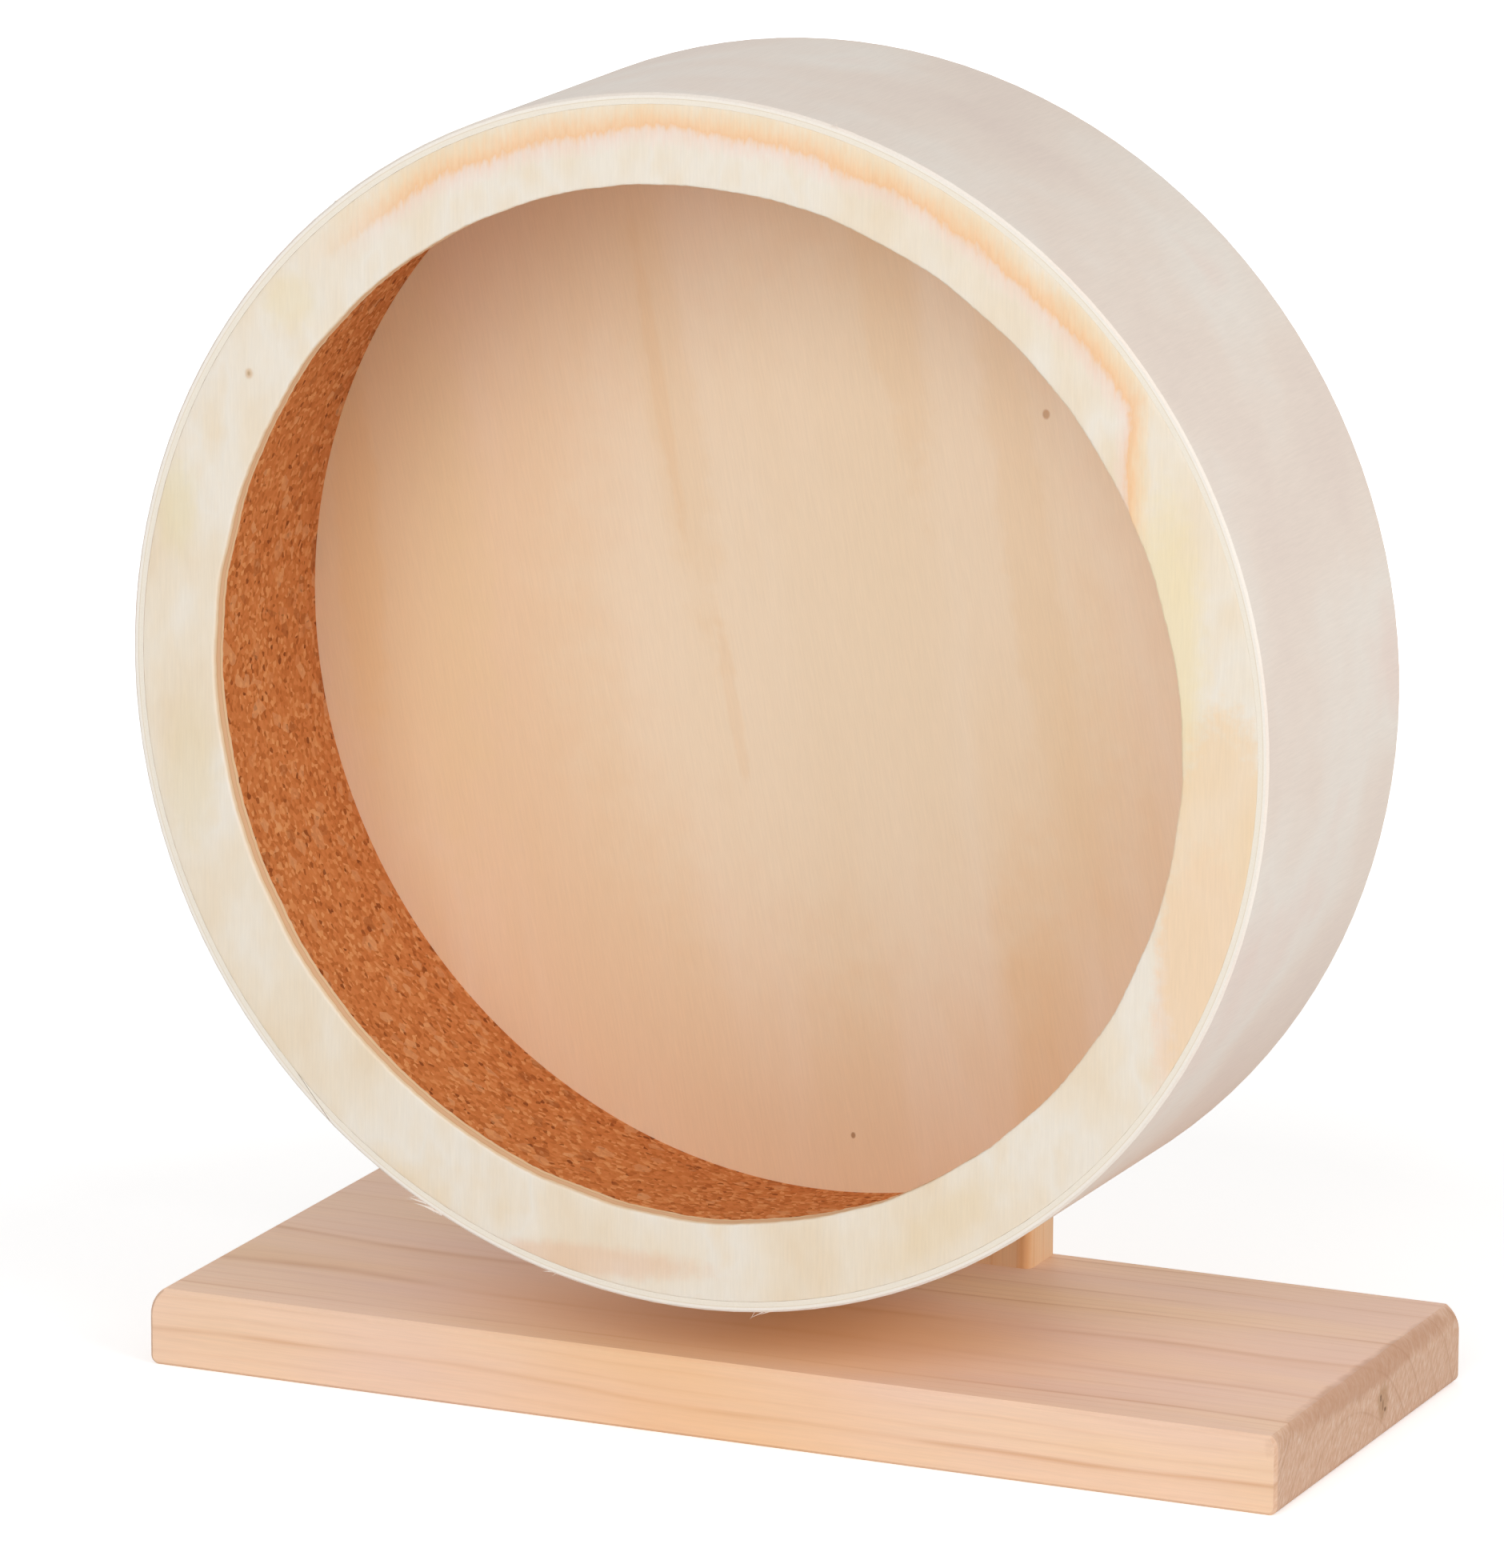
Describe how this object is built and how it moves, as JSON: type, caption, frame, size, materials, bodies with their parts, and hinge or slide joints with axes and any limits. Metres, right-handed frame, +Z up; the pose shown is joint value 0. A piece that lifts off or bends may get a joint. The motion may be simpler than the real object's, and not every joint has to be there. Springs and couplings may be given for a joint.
{
  "type": "hamster wheel",
  "caption": "Wooden hamster wheel: an open plywood drum with a cork running track, turning on a ball bearing hub that a pine stand carries.",
  "frame": {"origin": "middle of the stand's flat underside", "axes": "+Z up, +X to the right seen from the open face, which looks towards -Y; the axle lies along Y"},
  "size_m": [0.273, 0.1362, 0.302],
  "materials": {
    "pine_board": "planed and sanded, unfinished",
    "beech_dowel": "turned, unfinished",
    "bent_plywood": "thin plywood, sanded, unfinished",
    "ring_plywood": "plywood, sanded, unfinished",
    "disc_plywood": "plywood, sanded, unfinished",
    "cork_sheet": "pressed cork granules, matt",
    "hub_beech": "turned, unfinished",
    "zinc_steel": "zinc plated",
    "bearing_steel": "ground and polished",
    "shield_steel": "pressed sheet",
    "cage_nylon": "moulded"
  },
  "bodies": {
    "stand": {"base_board": "pine_board", "upright_board": "pine_board", "upright_dowels": "beech_dowel", "upright_screws": "zinc_steel", "axle_bolt": "zinc_steel", "spacer_sleeve": "zinc_steel", "race_shim": "zinc_steel", "jam_nut": "zinc_steel", "front_washer": "zinc_steel", "rear_washer": "zinc_steel", "cap_nut": "zinc_steel", "bearing_inner_race": "bearing_steel"},
    "wheel": {"rim_band": "bent_plywood", "front_ring": "ring_plywood", "back_disc": "disc_plywood", "cork_track": "cork_sheet", "hub_block": "hub_beech", "hub_screws": "zinc_steel", "bearing_outer_race": "bearing_steel", "bearing_shields": "shield_steel"},
    "ball_cage": {"bearing_balls": "bearing_steel", "bearing_cage": "cage_nylon"}
  },
  "joints": [
    {"name": "wheel_spin", "type": "hinge", "parent": "stand", "child": "wheel", "pos_m": [0, 0.0309, 0.167], "axis": [0, 1, 0], "continuous": true},
    {"name": "cage_spin", "type": "hinge", "parent": "stand", "child": "ball_cage", "pos_m": [0, 0.0309, 0.167], "axis": [0, 1, 0], "continuous": true}
  ],
  "couplings": [
    {"joint": "cage_spin", "follows": "wheel_spin", "ratio": 0.6323}
  ]
}
